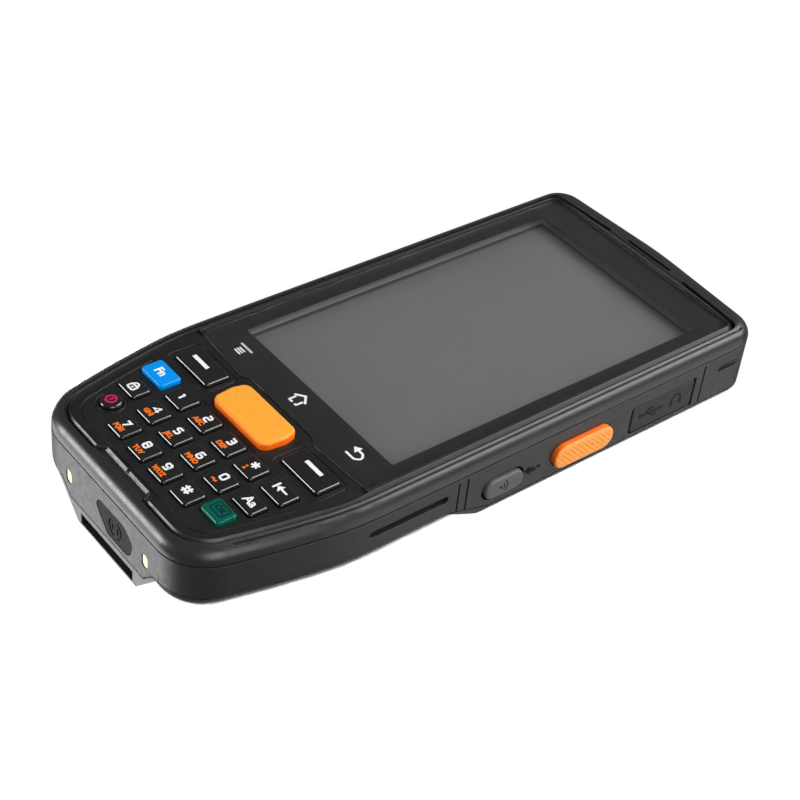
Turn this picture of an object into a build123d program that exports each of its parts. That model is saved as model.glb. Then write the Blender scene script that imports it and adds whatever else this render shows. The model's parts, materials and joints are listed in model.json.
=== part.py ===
from build123d import *
import math
import os

os.makedirs("parts", exist_ok=True)

# ------------------------------------------------------------------ driving dimensions (mm)
# The terminal is drawn lying flat: X to the user's right, Y towards the scan end, Z out of
# the screen, with the origin at the middle of the display window on the glass.  The last
# step stands every piece on its bottom end with the screen facing -Y.
END_Y = -95.0            # bottom end
TOP_Y = 59.3             # scan end, at the middle of its shallow roof
RIM_Z = 0.45             # top of the front rim
SPLIT_Z = -3.5           # front housing to middle frame
SEAM_LO = -12.2          # middle frame to rear housing, lower half
SEAM_HI = -15.2          # the same, upper half
BACK_Z = -18.2           # back face
WALL = 3.0               # side wall of the middle frame
DISPLAY = (52.6, 87.3)   # display window, a 4.0 inch 5:3 panel
GLASS_X = 30.15
GLASS_TOP, GLASS_CORNER_Y, GLASS_SIDE_Y, GLASS_MID_Y = 51.9, -53.1, -54.2, -52.9
GLASS_T = 1.1
DECK_Z, DECK_T = -0.2, 2.2
KEY_FOOT, KEY_GAP = -2.1, 0.2
COVER_OUT, COVER_IN = -18.5, -16.9      # battery cover, outer and inner face
HINGE_Y, HINGE_Z = -82.3, -17.7         # battery cover hinge
PLATE_Z = (-7.4, -6.4)                  # middle frame's inner plate
BAY = (23.2, -77.0, -3.0)               # battery bay half width, y from, y to
MID_Y = 14.95                           # shift that centres the depth over the origin

# body outline, counter-clockwise: x, y, corner radius
OUT = [(27.7, END_Y, 12.0), (31.9, -77.0, 150.0), (35.1, -59.5, 80.0), (34.4, 57.4, 6.8), (0.0, TOP_Y, 90.0),
       (-34.4, 57.4, 6.8), (-35.1, -59.5, 80.0), (-31.9, -77.0, 150.0), (-27.7, END_Y, 12.0)]


# ------------------------------------------------------------------ helpers
def inset(pts, o):
    # every edge of a counter-clockwise polygon moved inward by o (one value, or one per edge)
    n = len(pts)
    offs = o if isinstance(o, (list, tuple)) else [o] * n
    lines = []
    for i in range(n):
        x1, y1, _ = pts[i]
        x2, y2, _ = pts[(i + 1) % n]
        dx, dy = x2 - x1, y2 - y1
        ln = math.hypot(dx, dy)
        dx, dy = dx / ln, dy / ln
        lines.append((x1 - dy * offs[i], y1 + dx * offs[i], dx, dy))
    res = []
    for i in range(n):
        x1, y1, ax, ay = lines[i - 1]
        x2, y2, bx, by = lines[i]
        den = ax * by - ay * bx
        t = ((x2 - x1) * by - (y2 - y1) * bx) / den
        # convex corners lose radius, concave ones gain it
        r = pts[i][2]
        r = max(r - offs[i], 0.25) if den > 0 else r + offs[i]
        res.append((x1 + ax * t, y1 + ay * t, r if pts[i][2] > 0 else 0.0))
    return res


def rface(pts):
    # face from a counter-clockwise polygon with a tangent arc at each corner
    n = len(pts)
    tang = []
    for i in range(n):
        x, y, r = pts[i]
        px, py, _ = pts[i - 1]
        qx, qy, _ = pts[(i + 1) % n]
        la, lb = math.hypot(px - x, py - y), math.hypot(qx - x, qy - y)
        ax, ay, bx, by = (px - x) / la, (py - y) / la, (qx - x) / lb, (qy - y) / lb
        ang = math.acos(max(-1.0, min(1.0, ax * bx + ay * by)))
        if r > 1e-6 and ang < math.pi - 1e-5:
            t = min(r / math.tan(ang / 2), 0.495 * la, 0.495 * lb)
            re = t * math.tan(ang / 2)
            hx, hy = ax + bx, ay + by
            lh = math.hypot(hx, hy)
            hx, hy = hx / lh, hy / lh
            d = re / math.sin(ang / 2)
            m = (x + hx * (d - re), y + hy * (d - re))
            tang.append(((x + ax * t, y + ay * t), m, (x + bx * t, y + by * t)))
        else:
            tang.append(((x, y), None, (x, y)))
    edges = []
    for i in range(n):
        a, m, b = tang[i]
        if m:
            edges.append(Edge.make_three_point_arc(a, m, b))
        c = tang[(i + 1) % n][0]
        if math.dist(b, c) > 1e-5:
            edges.append(Edge.make_line(b, c))
    return Face(Wire(edges))


def rect(x0, y0, x1, y1, r=0.0):
    return rface([(x0, y0, r), (x1, y0, r), (x1, y1, r), (x0, y1, r)])


def stadium(cx, cy, length, height, along=0.0):
    f = rect(-length / 2, -height / 2, length / 2, height / 2, height / 2 - 0.01)
    return Pos(cx, cy, 0) * (Rot(0, 0, along) * f)


def prism(face, z0, z1):
    return Pos(0, 0, z0) * extrude(face, amount=z1 - z0)


def xprism(face, x0, x1):          # face drawn in (y, z)
    return Plane(origin=(x0, 0, 0), x_dir=(0, 1, 0), z_dir=(1, 0, 0)).location * \
        extrude(face, amount=x1 - x0)


def yprism(face, y0, y1):          # face drawn in (x, z)
    return Plane(origin=(0, y1, 0), x_dir=(1, 0, 0), z_dir=(0, -1, 0)).location * \
        extrude(face, amount=y1 - y0)


def bprism(face, d0, d1):          # face drawn as seen from the back: (-x, y), d = depth
    return Plane(origin=(0, 0, -d0), x_dir=(-1, 0, 0), z_dir=(0, 0, -1)).location * \
        extrude(face, amount=d1 - d0)


def box(x0, y0, z0, x1, y1, z1):
    return Pos((x0 + x1) / 2, (y0 + y1) / 2, (z0 + z1) / 2) * Box(x1 - x0, y1 - y0, z1 - z0)


def cyl(x, y, z0, z1, r):
    return Pos(x, y, (z0 + z1) / 2) * Cylinder(r, abs(z1 - z0))


def top_edges(part, z, tol=0.02):
    return [e for e in part.edges()
            if abs(e.bounding_box().min.Z - z) < tol and abs(e.bounding_box().max.Z - z) < tol]


def side_edges(part, x, tol=0.02):
    return [e for e in part.edges()
            if abs(e.bounding_box().min.X - x) < tol and abs(e.bounding_box().max.X - x) < tol]


def outline(o=0.0):
    return rface(inset(OUT, o))


def group(*parts):
    solids = []
    for p in parts:
        solids.extend(p.solids())
    return Compound(children=[]) if not solids else Compound(solids)


NODES = {}


def put(name, shape):
    NODES[name] = shape


# ------------------------------------------------------------------ outer form
# front part with its rolled rim
low = prism(outline(), -9.0, RIM_Z)
low = fillet(top_edges(low, RIM_Z), 3.5)
# back of the lower half, strongly rounded (its scan-end corners lie inside the upper half)
soft = [(x, y, 9.5 if y > 50 and abs(x) > 1 else r) for x, y, r in OUT]
back = prism(rface(soft), BACK_Z, -8.0)
back = fillet(top_edges(back, BACK_Z), 7.5)
low = low + back

up = prism(outline(), BACK_Z, -6.0)
up = fillet(top_edges(up, BACK_Z), 3.0)
slope_cut = xprism(rface([(-110, -30, 0), (-21.5, -30, 0), (-21.5, BACK_Z, 0), (-34.5, SEAM_LO, 0),
                          (-37.4, -10.7, 0), (-37.4, 1, 0), (-110, 1, 0)]), -40, 40)
up = up - slope_cut
# strap anchor: a raised block over the rounded bottom end, its sides cut away to slanting facets
anchor = xprism(rface([(END_Y, -10.0, 0), (-82.4, -10.0, 0), (-82.4, -18.2, 0), (-86.0, -19.8, 4.0),
                       (END_Y, -21.3, 1.3)][::-1]), -19.5, 19.5)
FACET = (Vector(10.2, END_Y, -21.2), Vector(14.2, -82.6, -18.4), Vector(18.0, END_Y, -13.0))


def beyond_facet(s):               # everything outside the facet plane on side s
    a, b, c = [Vector(s * q.X, q.Y, q.Z) for q in FACET]
    n = (b - a).cross(c - a).normalized() * s
    return Plane(origin=a, z_dir=n).location * Pos(0, 0, 20) * Box(90, 90, 40)


for s in (-1, 1):
    anchor = anchor - beyond_facet(s)
outer = low + up + anchor

# valleys between the anchor and the domed corner bosses
for s in (-1, 1):
    pl = [(13.7, -96.0, 7.6), (40, -96.0, 0), (40, -80.0, 0), (13.7, -80.0, 0)]
    if s < 0:
        pl = [(-x, y, r) for x, y, r in reversed(pl)]
    dome = prism(rface(pl), BACK_Z, -5.0)
    dome = fillet(top_edges(dome, BACK_Z), 3.0)
    x0, x1 = sorted((s * 8.0, s * 21.2))
    outer = outer - ((beyond_facet(s) & box(x0, -98, -30, x1, -82.9, -9)) - dome)

# seam between middle frame and rear housing, rising towards the upper half
rear_zone = xprism(rface([(-120, -60, 0), (80, -60, 0), (80, SEAM_HI, 0), (-23.5, SEAM_HI, 4.0),
                          (-33.5, SEAM_LO, 4.0), (-120, SEAM_LO, 0)]), -50, 50)
front_zone = prism(rect(-60, -120, 60, 80), SPLIT_Z, 10)
# on the end face the middle frame reaches down between the strap anchor's facets
TAB = [(-17.6, -12.0, 0), (-14.0, -15.5, 0.6), (14.0, -15.5, 0.6), (17.6, -12.0, 0)]
tab = yprism(rface(TAB), -97, -93.0)
rear_zone = rear_zone - tab
mid_zone = prism(rect(-60, -120, 60, 80), -60, SPLIT_Z) - rear_zone


# ------------------------------------------------------------------ front housing
def groove_path(o):
    # path of the inner rim trough, further in along the scan end
    q = inset(OUT, [o, o, o, o + 2.08, o + 2.08, o, o, o, o])
    return rface([(x, y, 2.9 if y > 45 and abs(x) > 1 else r) for x, y, r in q])


front = (outer & front_zone)
glass_pts = [(-GLASS_X, GLASS_CORNER_Y, 0.4), (-13.0, GLASS_SIDE_Y, 0.3), (-11.2, GLASS_MID_Y, 0.3),
             (11.2, GLASS_MID_Y, 0.3), (13.0, GLASS_SIDE_Y, 0.3), (GLASS_X, GLASS_CORNER_Y, 0.4),
             (GLASS_X, GLASS_TOP, 2.6), (-GLASS_X, GLASS_TOP, 2.6)]
glass_face = rface(glass_pts)
glass_pocket = rface(inset(glass_pts, -0.12))
# keypad deck: follows the trough round the lower end, stepped in at the microphone
d_in = inset([(27.7, END_Y, 12.0), (31.9, -77.0, 150.0), (35.1, -59.5, 80.0), (35.0, -40.0, 0.0),
              (-35.0, -40.0, 0.0), (-35.1, -59.5, 80.0), (-31.9, -77.0, 150.0), (-27.7, END_Y, 12.0)], 4.0)
xs, yb = d_in[3][0], END_Y + 4.0
deck_pts = [(-xs, GLASS_CORNER_Y - 0.15, 0.3), d_in[5], d_in[6], d_in[7],
            (-9.2, yb, 0.0), (-8.2, yb + 1.35, 0.0), (8.2, yb + 1.35, 0.0), (9.2, yb, 0.0),
            d_in[0], d_in[1], d_in[2], (xs, GLASS_CORNER_Y - 0.15, 0.3),
            (13.1, GLASS_SIDE_Y - 0.15, 0.2), (11.3, GLASS_MID_Y - 0.15, 0.2), (-11.3, GLASS_MID_Y - 0.15, 0.2),
            (-13.1, GLASS_SIDE_Y - 0.15, 0.2)]
deck_face = rface(deck_pts)
deck_pocket = rface(inset(deck_pts, -0.08))
front = front - prism(glass_pocket, -GLASS_T, 5) - prism(deck_pocket, DECK_Z - DECK_T, 5)
# openings through the housing, leaving a ledge under glass and deck
front = front - prism(rect(-29.2, -46.9, 29.2, 46.9, 0.8), -10, 5)
front = front - prism(rface(inset(deck_pts, 1.3)) & rect(-40, -100, 40, -56.2), -10, 5)
# rim trough with a ridge inside it, and a second, finer groove along the sides
SLOPE = 42.0                       # the ridge inside the trough leans back to a sharp crest
g_in = prism(groove_path(2.65), -0.7, 1.0) - prism(groove_path(3.3), -0.8, -0.29) - Pos(0, 0, -0.3) * extrude(groove_path(3.3), amount=1.4, taper=SLOPE)
g_in = g_in - box(-12.4, 48, -2, 12.4, 70, 6) - box(-9.5, -98, -2, 9.5, -85, 6)
g_mid = prism(rface([(-9.7, -92.35, 0), (-8.7, -91.95, 0), (8.7, -91.95, 0), (9.7, -92.35, 0), (9.7, -91.7, 0),
                     (9.0, -91.7, 0), (7.9, -90.35, 0), (-7.9, -90.35, 0), (-9.0, -91.7, 0),
                     (-9.7, -91.7, 0)]), -0.3, 5)
g_mid = g_mid + xprism(rface([(-90.4, -0.3, 0), (-89.72, 0.46, 0), (-89.72, 1.0, 0), (-90.4, 1.0, 0)]), -7.9, 7.9)
g_top = prism(rface([(-13.0, 53.35, 0), (-12.2, 52.75, 0), (12.2, 52.75, 0), (13.0, 53.35, 0), (13.0, 53.95, 0),
                     (12.0, 53.2, 0), (-12.0, 53.2, 0), (-13.0, 53.95, 0)]), -0.3, 5)
g_out = prism(outline(1.6), -0.3, 5) - prism(outline(2.05), -1, 6)
g_out = g_out - box(-40, -100, -2, 40, -84, 6) - box(-40, 53, -2, 40, 70, 6)
front = front - g_in - g_mid - g_top - g_out
# earpiece slit, and the microphone notch in the ridge at the lower end
front = front - prism(stadium(0.3, 54.1, 14.6, 1.1), -2.4, 5)
front = front - box(-0.15, -90.6, -0.1, 0.75, -89.4, 5)
seam1 = prism(outline(-1), SPLIT_Z - 0.2, SPLIT_Z + 0.2) - prism(outline(0.5), -10, 1)
put("front_housing", front - seam1)

glass = prism(glass_face, -GLASS_T, 0.0)
glass = fillet(top_edges(glass, 0.0), 0.15)
put("touch_glass", glass)
win = rect(-DISPLAY[0] / 2, -DISPLAY[1] / 2, DISPLAY[0] / 2, DISPLAY[1] / 2, 0.3)
put("glass_border", prism(glass_face, -GLASS_T - 0.15, -GLASS_T - 0.02) - prism(win, -3, 1))
put("display_panel", prism(rect(-30.0, -47.6, 30.0, 47.6, 0.5), -4.9, -3.9))
NODES["front_housing"] = NODES["front_housing"] - prism(glass_pocket, -GLASS_T - 0.15, 0)

# ------------------------------------------------------------------ keypad
KEYS = {  # name: x, y, width, height, top
    "key_fn": (-21.9, -68.4, 8.0, 5.3, 0.85), "key_1": (-12.9, -68.9, 6.4, 5.3, 0.6),
    "key_2": (-4.4, -68.9, 6.4, 5.3, 0.6), "key_3": (4.3, -68.9, 6.4, 5.3, 0.6),
    "key_star": (12.4, -68.8, 6.4, 5.3, 0.6), "key_back": (21.4, -68.1, 7.4, 5.0, 0.6),
    "key_lock": (-21.3, -75.4, 6.4, 4.6, 0.6), "key_4": (-12.2, -76.2, 6.2, 5.3, 0.6),
    "key_5": (-4.0, -76.2, 6.2, 5.3, 0.6), "key_6": (4.2, -76.2, 6.2, 5.3, 0.6),
    "key_0": (12.4, -76.0, 6.2, 5.3, 0.6), "key_shift": (20.8, -74.9, 6.8, 4.6, 0.6),
    "key_7": (-11.5, -83.6, 6.0, 5.3, 0.6), "key_8": (-3.4, -83.8, 6.0, 5.3, 0.6),
    "key_9": (4.3, -83.8, 6.0, 5.3, 0.6), "key_hash": (12.0, -83.6, 6.0, 5.3, 0.6),
    "key_ok": (19.7, -81.4, 6.5, 4.8, 0.7),
    "key_soft_left": (-19.6, -59.6, 12.4, 6.2, 0.7), "key_soft_right": (19.8, -59.5, 12.6, 6.2, 0.7),
}
deck = prism(deck_face, DECK_Z - DECK_T, DECK_Z)
for k, (x, y, w, h, zt) in KEYS.items():
    cap = prism(rect(x - w / 2, y - h / 2, x + w / 2, y + h / 2, 0.8), KEY_FOOT, zt)
    cap = fillet(top_edges(cap, zt), 0.5)
    put(k, cap)
    g = KEY_GAP
    deck = deck - prism(rect(x - w / 2 - g, y - h / 2 - g, x + w / 2 + g, y + h / 2 + g, 1.0), -9, 5)
PWR = (-19.8, -81.8, 2.4)
cap = cyl(PWR[0], PWR[1], KEY_FOOT, 0.75, PWR[2])
put("key_power", fillet(top_edges(cap, 0.75), 0.5))
deck = deck - cyl(PWR[0], PWR[1], -9, 5, PWR[2] + KEY_GAP)
scan_pts = [(-9.3, -64.2, 2.2), (9.3, -64.2, 2.2), (9.9, -58.8, 3.0), (9.1, -55.0, 2.2),
            (-9.1, -55.0, 2.2), (-9.9, -58.8, 3.0)]
cap = prism(rface(scan_pts), -1.5, 1.4)
cap = fillet(top_edges(cap, 1.4), 0.75)
for dx in (-5.8, 0.25, 6.3):      # small raised dots that the thumb finds
    cap = cap + (Pos(dx, -59.65, 0.6) * Sphere(1.0))
put("key_scan", cap)
deck = deck - prism(rface(inset(scan_pts, -KEY_GAP)), -9, 5)
# fine lines in the deck: round the soft keys, under the scan key, round the power key and along the rim
line_z = DECK_Z - 0.14
for s in (-1, 1):
    fr = [sorted((s * 12.0, s * 27.6))[0], -64.0, sorted((s * 12.0, s * 27.6))[1], -55.3]
    deck = deck - (prism(rect(*fr, 1.8), line_z, 5) - prism(rect(fr[0] + 0.25, fr[1] + 0.25, fr[2] - 0.25, fr[3] - 0.25, 1.55), -5, 6))
deck = deck - box(-11.4, -65.55, line_z, 11.4, -65.3, 5)
deck = deck - (cyl(PWR[0], PWR[1], line_z, 5, PWR[2] + 0.95) - cyl(PWR[0], PWR[1], -5, 6, PWR[2] + 0.7))
deck = deck - ((prism(outline(6.0), line_z, 5) - prism(outline(6.25), -5, 6)) & box(-40, -100, -2, 40, -67.0, 6))
put("keypad_deck", deck)
put("keypad_membrane", prism(rface(inset(deck_pts, 2.2)) & rect(-40, -100, 40, -56.6), -3.5, -3.0))

# ------------------------------------------------------------------ middle frame
mid = outer & mid_zone
inner = prism(outline(WALL), -40, 5)
mid = mid - inner
plate = prism(outline(WALL - 0.2), PLATE_Z[0], PLATE_Z[1])
mid = mid + plate
ledge = (prism(outline(WALL - 0.2), -6.5, SPLIT_Z - 0.6) - prism(outline(WALL + 1.2), -8, 0))
mid = mid + ledge
# grooves at the seams, on the outer surface only
skin = prism(outline(-1), -60, 5) - prism(outline(0.4), -60, 5)
seam_slab = xprism(rface([(-120, SEAM_LO - 0.14, 0), (-33.5, SEAM_LO - 0.14, 4.0), (-23.5, SEAM_HI - 0.14, 4.0),
                          (80, SEAM_HI - 0.14, 0), (80, SEAM_HI + 0.14, 0), (-23.5, SEAM_HI + 0.14, 4.0),
                          (-33.5, SEAM_LO + 0.14, 4.0), (-120, SEAM_LO + 0.14, 0)]), -50, 50)
seam2 = seam_slab & skin
seam2 = seam2 - box(-17.3, -97, -13.0, 17.3, -93.2, -11.4)
tab_line = (yprism(rface(inset(TAB, -0.14)), -97, -94.6) - yprism(rface(inset(TAB, 0.14)), -98, -93)) & \
    box(-30, -98, -30, 30, -90, SEAM_LO - 0.1)
seam2 = seam2 + tab_line
mid = mid - seam1 - seam2
for s, ys in ((1, (-32.3, -29.9, 40.3)), (-1, (-33.3, -30.9, 15.0, 17.6))):
    for y in ys:
        c = (skin & box(s * 20 if s > 0 else -40, y - 0.2, -15.0, 40 if s > 0 else -20, y + 0.2, -4.4))
        mid = mid - c

X0, X1 = 31.0, 40.0
KEY_R = {"side_scan": (2.8, -10.3, 17.2, 6.1), "grey": (-19.7, -10.6, 10.6, 4.8), "rocker": (-17.6, -10.3, 16.2, 5.8)}


def side_key(s, spec, x_out, gap=0.0, x_in=32.4, cham=0.6):
    y, z, ln, h = spec
    f = stadium(y, z, ln + 2 * gap, h + 2 * gap)
    p = xprism(f, x_in, x_out) if s > 0 else xprism(f, -x_out, -x_in)
    if cham:
        p = fillet(side_edges(p, s * x_out), cham)
    return p


def side_slot(s, spec, gap):
    y, z, ln, h = spec
    f = stadium(y, z, ln + 2 * gap, h + 2 * gap)
    return xprism(f, X0, X1) if s > 0 else xprism(f, -X1, -X0)


right_scan = side_key(1, KEY_R["side_scan"], 36.1)
left_scan = side_key(-1, KEY_R["side_scan"], 36.1)
grey = side_key(1, KEY_R["grey"], 35.7)
rocker = side_key(-1, KEY_R["rocker"], 35.7)
# shallow dish in the middle of the rocker
y, z, ln, h = KEY_R["rocker"]
rocker = rocker - (Pos(-35.7 - 9.75, y, z) * Rot(90, 0, 0) * Cylinder(10.0, 4.4))
# rounded pivot along its inner face
rocker = rocker + (Pos(-33.6, y, z) * Cylinder(1.6, h - 0.6))
put("side_scan_right", right_scan)
put("side_scan_left", left_scan)
put("side_key_grey", grey)
put("volume_rocker", rocker)
mid = mid - side_slot(1, KEY_R["side_scan"], 0.2) - side_slot(-1, KEY_R["side_scan"], 0.2)
mid = mid - side_slot(1, KEY_R["grey"], 0.6) - side_slot(-1, KEY_R["rocker"], 0.25)
# side slits and the small reset hole
for s in (-1, 1):
    for yc, ln, z in ((-45.2, 20.4, -7.5), (50.4, 10.4, -7.5)):
        f = stadium(yc, z, ln, 1.8)
        mid = mid - (xprism(f, 33.4, 40) if s > 0 else xprism(f, -40, -33.4))
mid = mid - (Pos(34, -9.6, -10.6) * Rot(0, 90, 0) * Cylinder(0.45, 6))

# port cover and its recess, with a boss behind it for the two sockets
DOOR = (18.4, 37.8, -14.5, -6.7)
y0, y1, z0, z1 = DOOR
door_f = rect(y0, z0, y1, z1, 1.0)
door_x = 34.5
boss = box(25.4, y0 - 1.0, PLATE_Z[0] - 7.3, 32.2, y1 + 1.0, PLATE_Z[1])
mid = mid + boss
mid = mid - xprism(rface([(y0 - 0.7, z0 - 0.2, 1.3), (y1 + 0.15, z0 - 0.2, 0.25),
                          (y1 + 0.15, z1 + 0.2, 0.25), (y0 - 0.7, z1 + 0.2, 1.3)]), 32.95, 40)
USB_Y, JACK_Y, PORT_Z = 23.8, 32.6, -10.6
mid = mid - xprism(stadium(USB_Y, PORT_Z, 9.4, 3.6), 24, 40)
mid = mid - (Pos(30, JACK_Y, PORT_Z) * Rot(0, 90, 0) * Cylinder(2.95, 20))
usb = xprism(stadium(USB_Y, PORT_Z, 9.2, 3.4), 25.6, 33.0) - xprism(stadium(USB_Y, PORT_Z, 8.6, 2.8), 26.2, 40)
usb = usb + box(26.0, USB_Y - 3.3, PORT_Z - 0.35, 31.8, USB_Y + 3.3, PORT_Z + 0.35)
put("charging_socket", usb)
JACK_R = 1.78
jack = (Pos(28.7, JACK_Y, PORT_Z) * Rot(0, 90, 0) * Cylinder(2.9, 8.6)) - \
       (Pos(29.7, JACK_Y, PORT_Z) * Rot(0, 90, 0) * Cylinder(JACK_R, 8.6))
put("headphone_socket", jack)
door = xprism(door_f, 33.15, door_x)
door = fillet(side_edges(door, door_x), 0.35)
# the edge towards the scan end is fully rounded about the hinge axis
HX, HY, HR = 33.825, 37.125, 0.675
door = door - box(32.5, HY, -20, 36, 40, 0) + (Pos(HX, HY, PORT_Z) * Cylinder(HR, z1 - z0 - 2.0))
put("port_cover", door)

# bottom end: two contacts and a moulded pad
PAD = [(-4.0, -9.1, 1.6), (0.5, -14.3, 2.6), (8.8, -14.3, 2.8), (10.4, -9.6, 2.4), (6.6, -7.1, 2.6),
       (-2.6, -7.1, 1.6)]
mid = mid - yprism(rface(PAD), -96, -93.9)
pad = yprism(rface(inset(PAD, 0.18)), -94.9, -93.9)
for r in (1.0, 2.2):
    ring = (Pos(3.4, -94.95, -10.8) * Rot(90, 0, 0) * (Cylinder(r + 0.28, 0.5) - Cylinder(r - 0.28, 1)))
    pad = pad - (ring - box(3.4 - 0.7, -96, -15, 3.4 + 0.7, -94, -6))
put("end_pad", pad)
ec = []
for x in (-14.6, 14.6):
    f = Pos(x, -10.3, 0) * (Rot(0, 0, 90) * rect(-1.75, -1.0, 1.75, 1.0, 0.99))
    mid = mid - yprism(f, -96, -93.6)
    fi = Pos(x, -10.3, 0) * (Rot(0, 0, 90) * rect(-1.67, -0.92, 1.67, 0.92, 0.91))
    ec.append(yprism(fi, -94.85, -93.6))
put("end_contacts", group(*ec))

# ------------------------------------------------------------------ rear housing
rear = outer & rear_zone
void = prism(outline(3.2), -13.8, 5) + prism(outline(7.6), -15.0, 5)
void = void - box(-24.5, -100, -30, 24.5, -83.0, 5)
rear = rear - void
# bay walls down to the middle frame's plate
bx, by0, by1 = BAY
walls = prism(rect(-bx - 1.3, by0 - 1.3, bx + 1.3, by1 + 1.3, 1.5), -16.0, PLATE_Z[0])
rear = rear + walls
rear = rear - prism(rect(-bx, by0, bx, by1, 1.0), -30, 5)
# recess for the battery cover, with a full-length trough for its hinge edge
cover_pts = [(25.0, -83.1, 3.5), (30.3, -58.0, 30.0), (30.8, 3.6, 3.0), (-30.8, 3.6, 3.0),
             (-30.3, -58.0, 30.0), (-25.0, -83.1, 3.5)]
recess_pts = [(x, y, 0.7 if y < -80 else r) for x, y, r in cover_pts]
rear = rear - prism(rface(inset(recess_pts, -0.2)), -40, COVER_IN + 0.2)
# finger notch beside the cover, on the user's left
rear = rear - (Pos(-31.0, -4.0, -19.6) * Sphere(4.3))
# latch recess, tongue slot, contact recess and speaker recess; x here is as seen from the back
rear = rear - bprism(rect(-10.9, 7.0, 6.4, 12.3, 1.2), 16.2, 40)
rear = rear - bprism(rect(-7.0, 3.0, 2.6, 7.4, 0.0), 16.9, 17.6)
rear = rear - bprism(stadium(-2.2, 15.4, 17.6, 3.9), 17.0, 40)
rear = rear - bprism(Pos(-20.9, 22.2, 0) * Face(Wire(Edge.make_circle(5.0))), 17.0, 40)
# screw wells
SCREWS = [(26.7, 13.3, 17.2), (-26.7, 13.3, 17.2), (21.3, -88.0, 15.0), (-21.3, -88.0, 15.0),
          (28.3, 52.6, 16.0), (-28.3, 52.6, 16.0)]
for x, y, d in SCREWS:
    rear = rear - bprism(Pos(x, y, 0) * Face(Wire(Edge.make_circle(2.45))), d, 40)
# strap anchor: slot in the end, slot in the back, joined behind a bar
rear = rear - box(-10.0, -97, -19.7, 10.0, -86.0, -17.0)
rear = rear - box(-9.5, -90.3, -30, 9.5, -86.0, -15.4)
rear = rear - seam2
put("rear_housing", rear)

sc = []
for x, y, d in SCREWS:
    h = bprism(Pos(x, y, 0) * Face(Wire(Edge.make_circle(1.9))), d - 0.6, d + 0.7)
    h = fillet([e for e in h.edges() if abs(e.bounding_box().max.Z + d + 0.7) < 0.02 and
                abs(e.bounding_box().min.Z + d + 0.7) < 0.02], 0.3)
    h = h - bprism(rect(x - 1.25, y - 0.22, x + 1.25, y + 0.22), d + 0.25, 40)
    h = h - bprism(rect(x - 0.22, y - 1.25, x + 0.22, y + 1.25), d + 0.25, 40)
    NODES["rear_housing"] = NODES["rear_housing"] - bprism(
        Pos(x, y, 0) * Face(Wire(Edge.make_circle(1.9))), d - 0.6, d + 0.1)
    sc.append(h)
put("rear_screws", group(*sc))
put("strap_bar", Pos(0, -88.6, -16.6) * Rot(0, 90, 0) * Cylinder(0.9, 19.0))

# battery cover: three shallow levels, rounded hinge edge
cov = prism(rface(cover_pts), COVER_OUT, COVER_IN)
cov = cov - box(-40, -90, -30, 40, HINGE_Y, 5)
barrel = Pos(0, HINGE_Y, HINGE_Z) * Rot(0, 90, 0) * Cylinder(0.8, 42.0)
cov = cov + barrel
cov = chamfer([e for e in top_edges(cov, COVER_OUT) if e.bounding_box().min.Y > HINGE_Y + 0.3], 0.5)
lvl2 = [(-23.3, -79.9, 0.4), (-13.7, -79.9, 0.4), (-11.7, -76.2, 0.4), (11.7, -76.2, 0.4), (13.7, -79.9, 0.4),
        (23.3, -79.9, 0.4), (28.8, -57.5, 30.0), (29.2, 2.4, 2.0), (-29.2, 2.4, 2.0), (-28.8, -57.5, 30.0)]
cov = cov + prism(rface(lvl2), COVER_OUT - 0.35, COVER_OUT)
lvl3 = [(-20.0, -71.3, 4.0), (20.0, -71.3, 4.0), (26.9, -48.0, 25.0), (27.3, 1.4, 2.0), (-27.3, 1.4, 2.0),
        (-26.9, -48.0, 25.0)]
cov = cov + prism(rface(lvl3), COVER_OUT - 0.7, COVER_OUT - 0.35)
put("battery_cover", cov)

# latch: slider with ribs and a bright bar, tongue towards the cover
lx0, lx1 = -5.4, 5.8
lat = bprism(rect(lx0, 7.4, lx1, 11.9, 0.8), 16.4, 17.9)
for i in range(7):
    x = lx0 + 1.2 + i * 1.45
    lat = lat + bprism(rect(x, 7.7, x + 0.7, 10.4, 0.2), 17.9, 18.6)
lat = lat + bprism(rect(-2.0, 4.0, 2.2, 7.6), 17.0, 17.5)
put("battery_latch", lat)
put("latch_bar", bprism(rect(lx0 + 0.2, 10.8, lx1 - 0.2, 11.8, 0.4), 17.9, 18.9))

batt = prism(rect(-bx + 0.5, by0 + 0.5, bx - 0.5, by1 - 2.2, 2.0), -16.4, PLATE_Z[0] - 0.1)
batt = fillet(top_edges(batt, -16.4), 0.8)
put("battery", batt)
bc = [box(x - 1.0, by1 - 2.2, -12.6, x + 1.0, by1 + 0.2, -9.4) for x in (-6, -2, 2, 6)]
put("battery_contacts", group(*bc))
NODES["rear_housing"] = NODES["rear_housing"] - bc[0] - bc[1] - bc[2] - bc[3]

# four contacts beside the scan head
gc = []
insert = bprism(stadium(-2.2, 15.4, 17.4, 3.7), 17.0, 17.35)
for i in range(4):
    c = bprism(Pos(-5.4 + 2.5 * i, 15.4, 0) * Face(Wire(Edge.make_circle(0.95))), 17.1, 17.95)
    c = fillet([e for e in c.edges() if abs(e.bounding_box().max.Z + 17.95) < 0.02 and
                abs(e.bounding_box().min.Z + 17.95) < 0.02], 0.35)
    insert = insert - bprism(Pos(-5.4 + 2.5 * i, 15.4, 0) * Face(Wire(Edge.make_circle(0.95))), 17.1, 18)
    gc.append(c)
put("rear_contact_base", insert)
put("rear_contacts", group(*gc))

# round speaker port: ring slot round a raised cap
spk = bprism(Pos(-20.9, 22.2, 0) * Face(Wire(Edge.make_circle(3.5))), 17.0, 18.1)
spk = fillet([e for e in spk.edges() if abs(e.bounding_box().max.Z + 18.1) < 0.02 and
              abs(e.bounding_box().min.Z + 18.1) < 0.02], 0.6)
put("speaker_cap", spk)

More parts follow.
